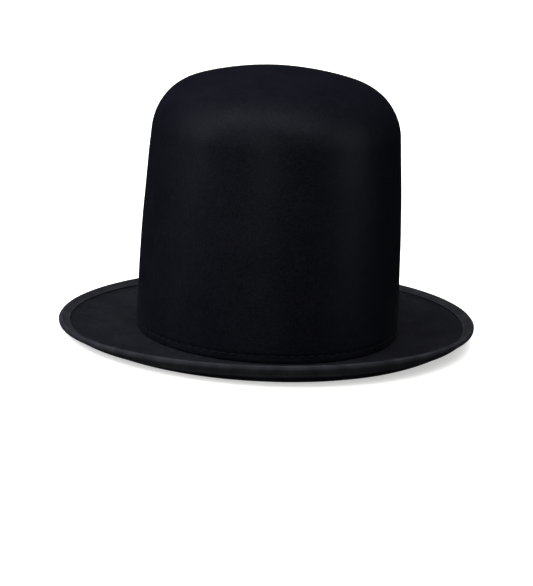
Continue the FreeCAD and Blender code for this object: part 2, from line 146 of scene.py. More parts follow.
def new_object(name, points, faces, material):
    mesh = bpy.data.meshes.new(name)
    mesh.from_pydata([Vector(p) * MM for p in points], [], faces)
    mesh.validate()
    mesh.polygons.foreach_set("use_smooth", [True] * len(mesh.polygons))
    mesh.materials.append(material)
    mesh.update()
    obj = bpy.data.objects.new(name, mesh)
    bpy.context.scene.collection.objects.link(obj)
    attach(obj, BODY)
    return obj


def grid_faces(rows, columns, close_rows=False, close_columns=False):
    """Quads of a grid of points stored row by row."""
    faces = []
    for row in range(rows if close_rows else rows - 1):
        below = (row + 1) % rows
        for column in range(columns if close_columns else columns - 1):
            right = (column + 1) % columns
            faces.append((row * columns + column, row * columns + right,
                          below * columns + right, below * columns + column))
    return faces


def ring(name, section, material, steps):
    """A closed ring: section(angle) gives the same number of points, in order, at every angle."""
    points = []
    for step in range(steps):
        points.extend(section(TURN * step / steps))
    count = len(points) // steps
    return new_object(name, points, grid_faces(steps, count, True, True), material)


def tube(points, radius, sides=8):
    """Points and faces of a capped tube along a list of points, thinner at both ends."""
    ring_points, faces = [], []
    last = len(points) - 1
    for index, centre in enumerate(points):
        ahead = points[min(index + 1, last)] - points[max(index - 1, 0)]
        ahead.normalize()
        side = ahead.cross(Vector((0, 0, 1)))
        side.normalize()
        up = side.cross(ahead)
        end = min(index, last - index) / max(1, last)
        swell = radius * min(1.0, 0.35 + 3.2 * end)
        for corner in range(sides):
            angle = TURN * corner / sides
            ring_points.append(centre + side * (swell * math.cos(angle)) + up * (swell * math.sin(angle)))
    faces = grid_faces(len(points), sides, False, True)
    faces.append(tuple(range(sides - 1, -1, -1)))
    faces.append(tuple(last * sides + corner for corner in range(sides)))
    return ring_points, faces


def merged(name, parts, material):
    """One object from many (points, faces) pairs."""
    points, faces = [], []
    for part_points, part_faces in parts:
        start = len(points)
        points.extend(part_points)
        faces.extend(tuple(start + index for index in face) for face in part_faces)
    return new_object(name, points, faces, material)


def arc_speed(half_width, half_length, angle):
    """Length along an oval's edge per radian of its angle."""
    return math.hypot(half_width * math.sin(angle), half_length * math.cos(angle))


def even_angles(half_width, half_length, pitch):
    """Angles of an oval about one pitch apart along its edge."""
    steps = 3600
    lengths = [0.0]
    for index in range(steps):
        angle = TURN * (index + 0.5) / steps
        lengths.append(lengths[-1] + arc_speed(half_width, half_length, angle) * TURN / steps)
    count = round(lengths[-1] / pitch)
    angles, index = [], 0
    for item in range(count):
        while lengths[index] < lengths[-1] * item / count:
            index += 1
        angles.append(TURN * index / steps)
    return angles


def wobble(point, size, seed):
    """Smooth noise between about -1 and 1 at a point, for lumps of roughly this size in mm."""
    return noise.noise(Vector(point) / size + Vector((seed * 17.3, seed * 5.1, -seed * 9.7)))


# ---------------------------------------------------------------- shapes shared with the CAD

def crown_arcs():
    """The wall, shoulder and dome arcs of the crown's section, each (centre x, z, radius, from, to)."""
    foot = BRIM_FELT + FIT_GAP
    dome_z = CROWN_TOP - DOME_RADIUS

    def solve(top_angle):
        low_cosine = (CROWN_HALF_WIDTH - SHOULDER_HALF_WIDTH) / WALL_RADIUS + math.cos(top_angle)
        low_angle = -math.acos(min(1.0, low_cosine))
        top_z = foot + WALL_RADIUS * (math.sin(top_angle) - math.sin(low_angle))
        centre = (SHOULDER_HALF_WIDTH - SHOULDER_RADIUS * math.cos(top_angle),
                  top_z - SHOULDER_RADIUS * math.sin(top_angle))
        miss = math.hypot(centre[0], centre[1] - dome_z) - (DOME_RADIUS - SHOULDER_RADIUS)
        return miss, low_angle, top_z, centre

    low = math.acos(1 - (CROWN_HALF_WIDTH - SHOULDER_HALF_WIDTH) / WALL_RADIUS) + 1e-6
    high = math.radians(9)
    for _ in range(60):
        middle = (low + high) / 2
        if solve(middle)[0] > 0:
            high = middle
        else:
            low = middle
    _, low_angle, top_z, centre = solve(low)
    wall_centre = (SHOULDER_HALF_WIDTH - WALL_RADIUS * math.cos(low), top_z - WALL_RADIUS * math.sin(low))
    dome_angle = math.atan2(centre[1] - dome_z, centre[0])
    return [(*wall_centre, WALL_RADIUS, low_angle, low), (*centre, SHOULDER_RADIUS, low, dome_angle),
            (0.0, dome_z, DOME_RADIUS, dome_angle, math.pi / 2)]


CROWN_ARCS = crown_arcs()


def crown_profile(inset, counts=(70, 34, 26)):
    """Section points (half width, height) from foot to top, moved inwards by "inset"."""
    points = []
    for (x, z, radius, start, end), count in zip(CROWN_ARCS, counts):
        for step in range(count):
            angle = start + (end - start) * step / count
            points.append((x + (radius - inset) * math.cos(angle), z + (radius - inset) * math.sin(angle)))
    points.append((0.0, CROWN_TOP - inset))
    return points


def oval_ratio(inset):
    return (CROWN_HALF_LENGTH - inset) / (CROWN_HALF_WIDTH - inset)


class Brim:
    """The upright section of the brim at one angle."""

    def __init__(self, angle):
        cosine, sine = math.cos(angle), math.sin(angle)
        self.foot = Vector((CROWN_HALF_WIDTH * cosine, CROWN_HALF_LENGTH * sine, 0))
        lip = Vector((BRIM_HALF_WIDTH * cosine + BRIM_SHIFT, BRIM_HALF_LENGTH * sine, 0))
        self.width = (lip - self.foot).length
        self.direction = (lip - self.foot).normalized()
        self.edge = self.width - EDGE_SETBACK
        oval, twist = math.cos(2 * angle), math.sin(2 * angle)
        self.rise = (RISE_MEAN + RISE_RIGHT * cosine + RISE_BACK * sine
                     + RISE_OVAL * oval + RISE_TWIST * twist)
        self.curl = CURL_MEAN - CURL_FRONT * sine + CURL_OVAL * oval + CURL_TWIST * twist

    def height(self, out):
        slope = max(0.0, (out - BRIM_FLAT) / (self.edge - BRIM_FLAT))
        curl = max(0.0, (out - self.edge + CURL_WIDTH) / CURL_WIDTH)
        return BRIM_FELT + self.rise * slope ** 1.5 + self.curl * curl ** 2

    def tilt(self, out):
        step = 0.05
        return math.atan2(self.height(out) - self.height(out - step), step)

    def at(self, out, depth, along=0.0):
        """The point "depth" below the felt's upper face and "along" it, outwards."""
        tilt = self.tilt(out)
        return (self.foot + self.direction * (out + depth * math.sin(tilt) + along * math.cos(tilt))
                + Vector((0, 0, self.height(out) - depth * math.cos(tilt) + along * math.sin(tilt))))

    def flat(self, out, height):
        return self.foot + self.direction * out + Vector((0, 0, height))

    def ribbon_start(self):
        return self.edge - RIBBON_FACE * math.cos(self.tilt(self.edge - RIBBON_FACE / 2))


# ---------------------------------------------------------------- materials

COOL_SHEEN = (0.8, 0.86, 1.0, 1.0)


class Nodes:
    """A short way to build a material's nodes."""

    def __init__(self, name):
        self.material = bpy.data.materials.new(name)
        self.material.use_nodes = True
        self.tree = self.material.node_tree
        self.shader = self.tree.nodes["Principled BSDF"]
        self.place = self.add("ShaderNodeTexCoord").outputs["Object"]

    def add(self, kind, inputs=None, **settings):
        node = self.tree.nodes.new(kind)
        for key, value in settings.items():
            setattr(node, key, value)
        for key, value in (inputs or {}).items():
            if isinstance(value, bpy.types.NodeSocket):
                self.tree.links.new(value, node.inputs[key])
            else:
                node.inputs[key].default_value = value
        return node

    def set(self, **values):
        for key, value in values.items():
            self.shader.inputs[key.replace("_", " ")].default_value = value

    def noise(self, scale, detail=3.0, roughness=0.55, vector=None, stretch=None):
        vector = vector or self.place
        if stretch:
            vector = self.add("ShaderNodeMapping", {"Vector": vector, "Scale": stretch}).outputs["Vector"]
        return self.add("ShaderNodeTexNoise", {"Vector": vector, "Scale": scale, "Detail": detail,
                                               "Roughness": roughness}).outputs["Fac"]

    def ramp(self, factor, *stops):
        node = self.add("ShaderNodeValToRGB", {"Fac": factor})
        elements = node.color_ramp.elements
        while len(elements) < len(stops):
            elements.new(0.5)
        for element, (position, colour) in zip(elements, stops):
            element.position = position
            element.color = (*colour, 1.0)
        return node.outputs["Color"]

    def mix(self, factor, first, second):
        node = self.add("ShaderNodeMix", data_type="RGBA")
        for socket, value in ((node.inputs[0], factor), (node.inputs[6], first), (node.inputs[7], second)):
            if isinstance(value, bpy.types.NodeSocket):
                self.tree.links.new(value, socket)
            elif isinstance(value, (int, float)):
                socket.default_value = value
            else:
                socket.default_value = (*value, 1.0)
        return node.outputs[2]

    def math(self, operation, first, second=0.0, third=0.0):
        return self.add("ShaderNodeMath", {0: first, 1: second, 2: third}, operation=operation).outputs[0]

    def colour(self, socket):
        self.tree.links.new(socket, self.shader.inputs["Base Color"])

    def rough(self, factor, low, high):
        node = self.add("ShaderNodeMapRange", {"Value": factor, "To Min": low, "To Max": high})
        self.tree.links.new(node.outputs["Result"], self.shader.inputs["Roughness"])

    def bump(self, *layers):
        """Layers of (height socket, distance in mm, strength), finest last."""
        normal = None
        for height, distance, strength in layers:
            inputs = {"Height": height, "Distance": distance * MM, "Strength": strength}
            if normal:
                inputs["Normal"] = normal
            normal = self.add("ShaderNodeBump", inputs).outputs["Normal"]
        self.tree.links.new(normal, self.shader.inputs["Normal"])


def felt_material(name, dark, light, gloss, sheen):
    """Pressed wool felt: a faint mottle, fine matted fibres, and a soft sheen at grazing angles."""
    felt = Nodes(name)
    mottle = felt.noise(45, 5.0, 0.62)
    fibre = felt.noise(1000, 3.0, 0.65, stretch=(1.0, 0.7, 1.3))
    cross = felt.noise(1350, 3.0, 0.7, stretch=(0.6, 1.4, 0.8))
    fleck = felt.math("ADD", fibre, cross)
    shade = felt.math("MULTIPLY_ADD", mottle, 0.16, felt.math("MULTIPLY", fleck, 0.42))
    felt.colour(felt.ramp(shade, (0.42, dark), (0.58, light)))
    felt.rough(fibre, 0.42, 0.50)
    felt.set(Specular_IOR_Level=gloss, Sheen_Weight=sheen, Sheen_Roughness=0.35, Sheen_Tint=COOL_SHEEN)
    felt.bump((mottle, 0.35, 0.4), (fibre, 0.16, 0.5), (cross, 0.12, 0.5))
    return felt.material


def thread_material(name, dark, light, sheen=0.3):
    thread = Nodes(name)
    twist = thread.noise(2600, 2.0, 0.6)
    thread.colour(thread.ramp(twist, (0.3, dark), (0.75, light)))
    thread.rough(twist, 0.42, 0.6)
    thread.set(Specular_IOR_Level=0.12, Sheen_Weight=sheen, Sheen_Roughness=0.4, Sheen_Tint=COOL_SHEEN)
    thread.bump((twist, 0.05, 0.4))
    return thread.material


def ribbon_material(name, dark, light):
    """Grosgrain: the ribs are in the mesh, and the threads between them are bump."""
    ribbon = Nodes(name)
    cloud = ribbon.noise(90, 3.0)
    weave = ribbon.noise(2400, 2.0, 0.6)
    shade = ribbon.math("MULTIPLY_ADD", cloud, 0.5, ribbon.math("MULTIPLY", weave, 0.5))
    ribbon.colour(ribbon.ramp(shade, (0.36, dark), (0.64, light)))
    ribbon.rough(weave, 0.62, 0.78)
    ribbon.set(Specular_IOR_Level=0.05, Sheen_Weight=0.008, Sheen_Roughness=0.35,
               Sheen_Tint=(0.85, 0.9, 1.0, 1.0))
    ribbon.bump((cloud, 0.1, 0.2), (weave, 0.04, 0.4))
    return ribbon.material


def leather_material(name, dark, light):
    leather = Nodes(name)
    cells = leather.add("ShaderNodeTexVoronoi", {"Vector": leather.place, "Scale": 1100.0},
                        feature="DISTANCE_TO_EDGE").outputs["Distance"]
    grain = leather.ramp(cells, (0.0, (0, 0, 0)), (0.12, (1, 1, 1)))
    cloud = leather.noise(45, 5.0, 0.6)
    creases = leather.noise(240, 4.0, 0.6, stretch=(1.0, 1.0, 3.0))
    tone = leather.ramp(cloud, (0.3, dark), (0.7, light))
    leather.colour(leather.mix(leather.math("MULTIPLY", creases, 0.35), tone, dark))
    leather.rough(cloud, 0.38, 0.55)
    leather.set(Specular_IOR_Level=0.5, Coat_Weight=0.12, Coat_Roughness=0.35)
    leather.bump((creases, 0.12, 0.35), (grain, 0.05, 0.4))
    return leather.material


def satin_material(name, dark, light):
    """Satin: long floats make it shine along one direction, with a fine twill line."""
    satin = Nodes(name)
    cloud = satin.noise(28, 3.0)
    floats = satin.noise(1500, 2.0, 0.5, stretch=(1.0, 1.0, 0.08))
    shade = satin.math("MULTIPLY_ADD", cloud, 0.6, satin.math("MULTIPLY", floats, 0.4))
    satin.colour(satin.ramp(shade, (0.3, dark), (0.75, light)))
    satin.rough(floats, 0.26, 0.4)
    satin.set(Specular_IOR_Level=0.55, Sheen_Weight=0.2, Sheen_Roughness=0.3)
    satin.bump((floats, 0.03, 0.35))
    return satin.material


def plain_cloth_material(name, dark, light, scale=2000):
    """Plain weave for tape and label: crossed threads at a real pitch."""
    cloth = Nodes(name)
    warp = cloth.noise(scale, 1.0, 0.5, stretch=(1.0, 1.0, 0.15))
    weft = cloth.noise(scale, 1.0, 0.5, stretch=(0.15, 0.15, 1.0))
    weave = cloth.math("MULTIPLY", warp, weft)
    cloth.colour(cloth.ramp(weave, (0.12, dark), (0.4, light)))
    cloth.rough(weave, 0.6, 0.8)
    cloth.set(Specular_IOR_Level=0.35, Sheen_Weight=0.2, Sheen_Roughness=0.5)
    cloth.bump((weave, 0.08, 0.5))
    return cloth.material


def metal_material(name, dark, light):
    metal = Nodes(name)
    drawn = metal.noise(700, 3.0, 0.6, stretch=(0.2, 1.0, 1.0))
    metal.colour(metal.ramp(drawn, (0.3, dark), (0.7, light)))
    metal.rough(drawn, 0.25, 0.45)
    metal.set(Metallic=1.0)
    metal.bump((drawn, 0.02, 0.3))
    return metal.material


def reed_material(name):
    reed = Nodes(name)
    streak = reed.noise(500, 2.0, 0.5)
    reed.colour(reed.ramp(streak, (0.3, (0.42, 0.40, 0.34)), (0.7, (0.55, 0.53, 0.46))))
    reed.rough(streak, 0.3, 0.45)
    reed.bump((streak, 0.02, 0.3))
    return reed.material


BLACK_CROWN = felt_material("black_crown_felt", (0.0016, 0.0018, 0.0036), (0.0050, 0.0053, 0.0090),
                            gloss=0.125, sheen=0.004)
# the brim is the same black felt as the crown, painted lighter: the extra lightness is painted bounce light
# that stands in for the light the white floor would throw onto it
BRIM_FELT_PAINTED_LIGHTER = felt_material("brim_felt_painted_bounce_light", (0.0014, 0.0016, 0.0029), (0.0118, 0.0121, 0.0156),
                           gloss=0.06, sheen=0.008)
RIBBON = ribbon_material("black_grosgrain", (0.0084, 0.0089, 0.0118), (0.0228, 0.0238, 0.0292))
THREAD = thread_material("black_thread", (0.003, 0.0035, 0.006), (0.0085, 0.0095, 0.0135), sheen=0.01)
LEATHER = leather_material("brown_leather", (0.060, 0.026, 0.011), (0.150, 0.072, 0.034))
BAND_THREAD = thread_material("brown_thread", (0.16, 0.10, 0.055), (0.30, 0.20, 0.12))
SATIN = satin_material("charcoal_satin", (0.030, 0.031, 0.036), (0.062, 0.064, 0.072))
TAPE = plain_cloth_material("black_tape", (0.012, 0.012, 0.014), (0.04, 0.04, 0.044))
LABEL = plain_cloth_material("blank_label_cloth", (0.50, 0.47, 0.40), (0.72, 0.69, 0.62))
BOW = satin_material("black_bow_ribbon", (0.012, 0.012, 0.014), (0.03, 0.03, 0.034))
STEEL = metal_material("drawn_steel", (0.42, 0.42, 0.44), (0.62, 0.62, 0.64))
BRASS = metal_material("crimped_brass", (0.55, 0.42, 0.18), (0.72, 0.57, 0.27))
REED = reed_material("clear_reed")


# ---------------------------------------------------------------- crown

SEAM_ANGLES = even_angles(CROWN_HALF_WIDTH, CROWN_HALF_LENGTH, SEAM_PITCH)


def crown_offset(angle, x, z, outer):
    """How far the felt stands off its plain shape: lumps, the seam's pinch, and the foot that turns in."""
    foot_zone, foot_turn, foot_lift = 16, 0.25, 0.30
    pinch_width, pinch_depth, pucker_depth = 1.1, 0.30, 0.12
    inner_share = 0.3
    point = Vector((x * math.cos(angle), x * math.sin(angle), z))
    push = 0.45 * wobble(point, 70, 1) + 0.16 * wobble(point, 24, 2)
    above = z - BRIM_FELT
    if above < foot_zone:
        push *= above / foot_zone
        pinch = math.exp(-((above - SEAM_HEIGHT) / pinch_width) ** 2)
        pucker = 0.5 + 0.5 * math.cos(len(SEAM_ANGLES) * angle)
        push -= pinch * (pinch_depth + pucker_depth * pucker)
        if above < SEAM_HEIGHT:
            push += foot_lift * above / SEAM_HEIGHT - foot_turn
    return push if outer else inner_share * push


def crown_shell():
    """The felt shell: rows of points up its outside, then rows down its inside, closed by two tips."""
    outer = crown_profile(0.0, (150, 44, 34))
    inner = crown_profile(CROWN_FELT, (60, 24, 16))
    columns = 480
    points = []
    for profile, inset in ((outer, 0.0), (inner[::-1], CROWN_FELT)):
        is_outer = profile is outer
        ratio = oval_ratio(inset)
        for index, (x, z) in enumerate(profile):
            if x == 0.0:
                continue
            before, after = profile[max(index - 1, 0)], profile[min(index + 1, len(profile) - 1)]
            run, rise = after[0] - before[0], after[1] - before[1]
            length = math.hypot(run, rise)
            normal = (rise / length, -run / length) if is_outer else (-rise / length, run / length)
            for column in range(columns):
                angle = TURN * column / columns
                push = crown_offset(angle, x, z, is_outer)
                radius, height = x + normal[0] * push, z + normal[1] * push
                points.append((radius * math.cos(angle), radius * ratio * math.sin(angle), height))
    rows_outer = len(outer) - 1
    rows_inner = len(inner) - 1
    rows = rows_outer + rows_inner
    # each row joins the next, and the last joins the first at the foot; the rows at the two tips stay apart
    faces = []
    for row in range(rows):
        if row == rows_outer - 1:
            continue
        below = (row + 1) % rows
        for column in range(columns):
            right = (column + 1) % columns
            faces.append((row * columns + column, row * columns + right,
                          below * columns + right, below * columns + column))
    tip = len(points)
    points.append((0, 0, CROWN_TOP))
    hollow_tip = len(points)
    points.append((0, 0, CROWN_TOP - CROWN_FELT))
    for column in range(columns):
        right = (column + 1) % columns
        faces.append(((rows_outer - 1) * columns + column, (rows_outer - 1) * columns + right, tip))
        faces.append((rows_outer * columns + right, rows_outer * columns + column, hollow_tip))
    crown = new_object("crown_felt_shell", points, faces, BLACK_CROWN)
    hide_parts("crown_felt")
    return crown


def seam_stitches():
    """Running stitches round the crown's foot, no two quite alike, with their ends drawn into the felt."""
    chance = random.Random(4)
    parts = []
    for angle in SEAM_ANGLES:
        half = SEAM_STITCH * chance.uniform(0.86, 1.06) / 2
        drift = chance.uniform(-0.16, 0.16)
        slant = chance.uniform(-0.12, 0.12)
        sunk = chance.uniform(0.16, 0.36)
        speed = arc_speed(CROWN_HALF_WIDTH, CROWN_HALF_LENGTH, angle)
        path = []
        steps = 8
        for step in range(steps + 1):
            share = 2 * step / steps - 1
            here = angle + share * half / speed
            lift = SEAM_THREAD * (0.38 - 0.95 * abs(share) ** 4) - sunk
            path.append(Vector(((CROWN_HALF_WIDTH + lift) * math.cos(here),
                                (CROWN_HALF_LENGTH + lift) * math.sin(here),
                                BRIM_FELT + SEAM_HEIGHT + drift + slant * share)))
        parts.append(tube(path, SEAM_THREAD / 2, 8))
    stitches = merged("crown_seam_thread", parts, THREAD)
    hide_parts("crown_seam_stitches")
    return stitches


# ---------------------------------------------------------------- brim

def brim_offset(brim, out, end):
    """The felt's lumps, which fade out at the crown and at the edge."""
    crown_fade, edge_fade = 12, 6
    point = brim.at(out, 0)
    lump = 0.30 * wobble(point, 60, 5) + 0.10 * wobble(point, 18, 6)
    return lump * min(1.0, max(0.0, out / crown_fade)) * min(1.0, (end - out) / edge_fade + 0.1)


def brim_ring():
    """The brim with its collar: down the collar, out along the top, back underneath, round the bend."""
    corner, edge_gap = 0.4, 0.8
    inner = -CROWN_FELT - FIT_GAP
    under = inner - BRIM_FELT
    top_start = inner + corner
    under_start = under + COLLAR_BEND
    collar_top = BRIM_FELT + COLLAR_HEIGHT
    face_steps, bend_steps = 46, 8

    def section(angle):
        brim = Brim(angle)
        end = brim.edge - edge_gap
        points = [brim.flat(inner, height) for height in (collar_top, collar_top / 2, BRIM_FELT + corner)]
        for depth, start, finish in ((0.0, top_start, end), (BRIM_FELT, end, under_start)):
            for step in range(face_steps + 1):
                out = start + (finish - start) * step / face_steps
                point = brim.at(out, depth) + Vector((0, 0, brim_offset(brim, out, end)))
                point.z = max(point.z, FLOOR_GAP)
                points.append(point)
        for step in range(1, bend_steps + 1):
            turn = math.pi / 2 * step / bend_steps
            out = under + COLLAR_BEND * (1 - math.sin(turn))
            points.append(brim.flat(out, COLLAR_BEND * (1 - math.cos(turn))))
        points.append(brim.flat(under, collar_top))
        return points

    brim = ring("brim_felt_ring", section, BRIM_FELT_PAINTED_LIGHTER, 480)
    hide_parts("brim_felt")
    return brim


def binding():
    """The ribbon, closed round the edge, with its ribs across it and a firmer woven edge each side."""
    nose_steps, face_steps = 20, 14
    rib_height, selvedge, crease_depth, creases = 0.06, 0.14, 0.07, 7
    swell, swell_start = 0.45, 0.4

    def skin(brim, angle, outside):
        """The ribbon's outside or inside, from the woven edge on top, round the lip, to the one below."""
        # the woven edge doesn't run quite evenly
        start = brim.ribbon_start()
        start += 0.18 * wobble(brim.at(start, 0), 26, 8)
        lift = RIBBON_GAP
        if outside:
            lift += RIBBON_CLOTH + rib_height * math.cos(RIBS * angle)
        upper, nose, lower = [], [], []
        for step in range(face_steps):
            share = step / face_steps
            out = start + (brim.edge - start) * share
            rise = lift + swell * max(0.0, (share - swell_start) / (1 - swell_start)) ** 2
            if outside:
                rise += selvedge * math.exp(-(share * 6) ** 2)
            upper.append(brim.at(out, -rise))
            lower.append(brim.at(out, BRIM_FELT + rise))
        tilt = brim.tilt(brim.edge)
        middle = brim.at(brim.edge, BRIM_FELT / 2)
        for step in range(nose_steps + 1):
            turn = math.pi * step / nose_steps
            reach = BRIM_FELT / 2 + lift + swell
            if outside:
                reach += crease_depth * math.sin(turn) * math.cos(creases * turn)
            turn = tilt + math.pi / 2 - turn
            nose.append(middle + brim.direction * (reach * math.cos(turn))
                        + Vector((0, 0, reach * math.sin(turn))))
        return upper + nose + lower[::-1]

    def section(angle):
        brim = Brim(angle)
        return skin(brim, angle, True) + skin(brim, angle, False)[::-1]

    ribbon = ring("brim_ribbon", section, RIBBON, 4 * RIBS)
    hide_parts("brim_binding")
    return ribbon


def binding_thread():
    """Small lockstitches near the ribbon's woven edge, above and below."""
    chance = random.Random(9)
    parts = []
    steps = 6
    for angle in even_angles(BRIM_HALF_WIDTH, BRIM_HALF_LENGTH, EDGE_PITCH):
        speed = arc_speed(BRIM_HALF_WIDTH, BRIM_HALF_LENGTH, angle)
        for depth in (-RIBBON_OUTSIDE, BRIM_FELT + RIBBON_OUTSIDE):
            path = []
            drift = chance.uniform(-0.05, 0.05)
            for step in range(steps + 1):
                share = 2 * step / steps - 1
                brim = Brim(angle + share * EDGE_STITCH / 2 / speed)
                out = brim.ribbon_start() + EDGE_STITCH_INSET + drift
                sink = 0.22 * abs(share) ** 3 - 0.06
                path.append(brim.at(out, depth + (sink if depth < 0 else -sink)))
            parts.append(tube(path, EDGE_THREAD / 2, 6))
    thread = merged("binding_thread", parts, THREAD)
    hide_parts("binding_stitches")
    return thread


# ---------------------------------------------------------------- sweatband

def sweatband():
    """Soft leather that leans in a little and waves along its free top edge."""
    steps = 22

    def section(angle):
        outside, inside = [], []
        for step in range(steps + 1):
            share = step / steps
            z = BAND_BASE + (BAND_TOP - BAND_BASE) * share
            point = Vector((BAND_HALF_WIDTH * math.cos(angle), BAND_HALF_LENGTH * math.sin(angle), z))
            wave = share ** 2 * (0.5 * wobble(point, 38, 11) - 0.35) + 0.06 * wobble(point, 9, 12) * share
            round_top = BAND_LEATHER / 2 * (1 - 0.6 * max(0.0, (share - 0.96) / 0.04) ** 2)
            for row, side in ((outside, 1), (inside, -1)):
                reach = side * round_top + wave
                row.append(Vector(((BAND_HALF_WIDTH + reach) * math.cos(angle),
                                   (BAND_HALF_LENGTH + reach) * math.sin(angle), z)))
        return outside + inside[::-1]

    band = ring("sweatband_leather", section, LEATHER, 420)
    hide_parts("sweatband")
    return band


def band_stitches():
    """Stitches on the band's inside that hold the reed's tape, with their ends drawn into the leather."""
    parts = []
    steps = 5
    for angle in even_angles(BAND_HALF_WIDTH, BAND_HALF_LENGTH, BAND_PITCH):
        speed = arc_speed(BAND_HALF_WIDTH, BAND_HALF_LENGTH, angle)
        path = []
        for step in range(steps + 1):
            share = 2 * step / steps - 1
            here = angle + share * BAND_STITCH / 2 / speed
            reach = -BAND_LEATHER / 2 - 0.08 + 0.25 * abs(share) ** 3
            path.append(Vector(((BAND_HALF_WIDTH + reach) * math.cos(here),
                                (BAND_HALF_LENGTH + reach) * math.sin(here), BAND_STITCH_HEIGHT)))
        parts.append(tube(path, BAND_THREAD_WIDTH / 2, 6))
    thread = merged("sweatband_thread", parts, BAND_THREAD)
    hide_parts("sweatband_stitches")
    return thread


def back_seam():
    """Zigzag thread over the joint of the sweatband's ends."""
    parts = []
    steps = 6
    rise = (ZIGZAG_TOP - ZIGZAG_BASE) / ZIGZAGS
    for zigzag in range(ZIGZAGS):
        side = 1 if zigzag % 2 else -1
        path = []
        for step in range(steps + 1):
            share = step / steps
            x = side * ZIGZAG_HALF_WIDTH * (1 - 2 * share)
            z = ZIGZAG_BASE + rise * (zigzag + share)
            # the thread follows the band, which leans in and curves round, and its ends dip into the leather
            lean = 0.35 * ((z - BAND_BASE) / (BAND_TOP - BAND_BASE)) ** 2
            dip = 0.2 * abs(2 * share - 1) ** 4
            path.append(Vector((x, BAND_INSIDE - 0.12 - lean - x * x / 170 + dip, z)))
        parts.append(tube(path, BAND_THREAD_WIDTH / 2, 6))
    thread = merged("sweatband_zigzag", parts, BAND_THREAD)
    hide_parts("sweatband_back_seam")
    return thread


def bow():
    """A flat ribbon bow: two loops, two tails and a knot."""
    centre = Vector((0, BAND_INSIDE - 1.3, BOW_HEIGHT))
    loop_steps, loop_reach, loop_depth, loop_lean = 18, 3.9, 0.85, 0.25
    tail_steps, tail_spread, tail_drop = 8, 0.8, 0.62
    knot_steps, knot_half_width, knot_depth = 14, 1.25, 1.15

    def strap(path, twist=0.0):
        points, faces = [], []
        for index, spot in enumerate(path):
            ahead = (path[min(index + 1, len(path) - 1)] - path[max(index - 1, 0)]).normalized()
            across = Vector((0, 0.25 * math.sin(twist + index * 0.3), 1)).normalized()
            out = ahead.cross(across).normalized()
            narrow = BOW_RIBBON * (0.32 + 0.18 * math.sin(math.pi * index / (len(path) - 1)))
            for side, layer in ((-1, 1), (1, 1), (1, -1), (-1, -1)):
                points.append(spot + across * (narrow * side) + out * (BOW_CLOTH / 2 * layer))
        faces = grid_faces(len(path), 4, False, True)
        last = len(path) - 1
        faces += [(3, 2, 1, 0), tuple(last * 4 + corner for corner in range(4))]
        return points, faces

    parts = []
    for side in (-1, 1):
        loop = []
        for step in range(loop_steps + 1):
            turn = TURN * step / loop_steps
            reach = loop_reach * (1 - math.cos(turn))
            loop.append(centre + Vector((side * reach, loop_depth * math.sin(turn),
                                         side * loop_lean * math.sin(turn))))
        parts.append(strap(loop))
        tail = []
        for step in range(tail_steps + 1):
            tail.append(centre + Vector((side * tail_spread * step, 0.1 * math.sin(step) - 0.25,
                                         -tail_drop * step)))
        parts.append(strap(tail, side))
    knot = []
    for step in range(knot_steps + 1):
        turn = TURN * step / knot_steps
        knot.append(centre + Vector((knot_half_width * math.cos(turn), knot_depth * math.sin(turn), 0)))
    parts.append(strap(knot))
    tied = merged("sweatband_bow_ribbon", parts, BOW)
    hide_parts("sweatband_bow")
    return tied


# ---------------------------------------------------------------- lining

def lining_point(angle, x, z, push):
    """A point of the oval through (x, z) on the lining's section, pushed inwards."""
    return Vector(((x - push) * math.cos(angle), (x * oval_ratio(LINING_INSET) - push) * math.sin(angle), z))


def lining_side():
    """Satin wall: soft gathers that deepen towards the seam with the tip."""
    top = LINING_SEAM - 0.9
    profile = [spot for spot in crown_profile(LINING_INSET, (90, 60, 26)) if LINING_BASE <= spot[1] <= top]

    def section(angle):
        outside, inside = [], []
        cosine, sine = math.cos(angle), math.sin(angle)
        for x, z in profile:
            share = (z - LINING_BASE) / (LINING_SEAM - LINING_BASE)
            drift = 2.2 * wobble((cosine * 40, sine * 40, z * 0.3), 20, 14)
            gather = 0.35 * math.sin(LINING_GATHERS * angle + drift)
            push = 0.8 * (0.25 + share) * (0.5 + gather) + 0.5 * wobble((x * cosine, x * sine, z), 45, 15)
            push = max(-0.4, push) + 0.3
            outside.append(lining_point(angle, x, z, push))
            inside.append(lining_point(angle, x, z, push + LINING_CLOTH))
        return outside + inside[::-1]

    wall = ring("lining_wall_satin", section, SATIN, 720)
    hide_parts("lining_side")
    return wall


def lining_tip():
    """Satin oval under the dome: an upper and a lower layer of points, joined along the edge."""
    profile = [spot for spot in crown_profile(LINING_INSET, (90, 60, 40)) if spot[1] >= LINING_SEAM + 0.7]
    rows, apex_height = profile[:-1], profile[-1][1]
    columns = 240
    points, faces, starts = [], [], []
    for layer in (0.0, LINING_CLOTH):
        start = len(points)
        starts.append(start)
        for x, z in rows:
            for column in range(columns):
                angle = TURN * column / columns
                sag = 0.9 * wobble((x * math.cos(angle), x * math.sin(angle), z), 40, 21) * (1 - x / 90)
                points.append(lining_point(angle, x, z - layer - 0.6 - abs(sag), layer))
        apex = len(points)
        points.append((0, 0, apex_height - layer - 0.8))
        sheet_faces = [tuple(start + corner for corner in face)
                       for face in grid_faces(len(rows), columns, False, True)]
        last_row = apex - columns
        for column in range(columns):
            sheet_faces.append((last_row + column, last_row + (column + 1) % columns, apex))
        faces.extend(face if layer == 0.0 else face[::-1] for face in sheet_faces)
    upper, lower = starts
    for column in range(columns):
        right = (column + 1) % columns
        faces.append((lower + column, lower + right, upper + right, upper + column))
    tip = new_object("lining_tip_satin", points, faces, SATIN)
    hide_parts("lining_tip")
    return tip


# ---------------------------------------------------------------- carried-over CAD nodes

KEPT_NODES = {
    "brim_wire": STEEL,
    "brim_wire_ferrule": BRASS,
    "sweatband_reed": REED,
    "reed_tape": TAPE,
    "size_label": LABEL,
    "lining_piping": BOW,
}


def finish_node(name, material):
    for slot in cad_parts[name].material_slots:
        slot.material = material


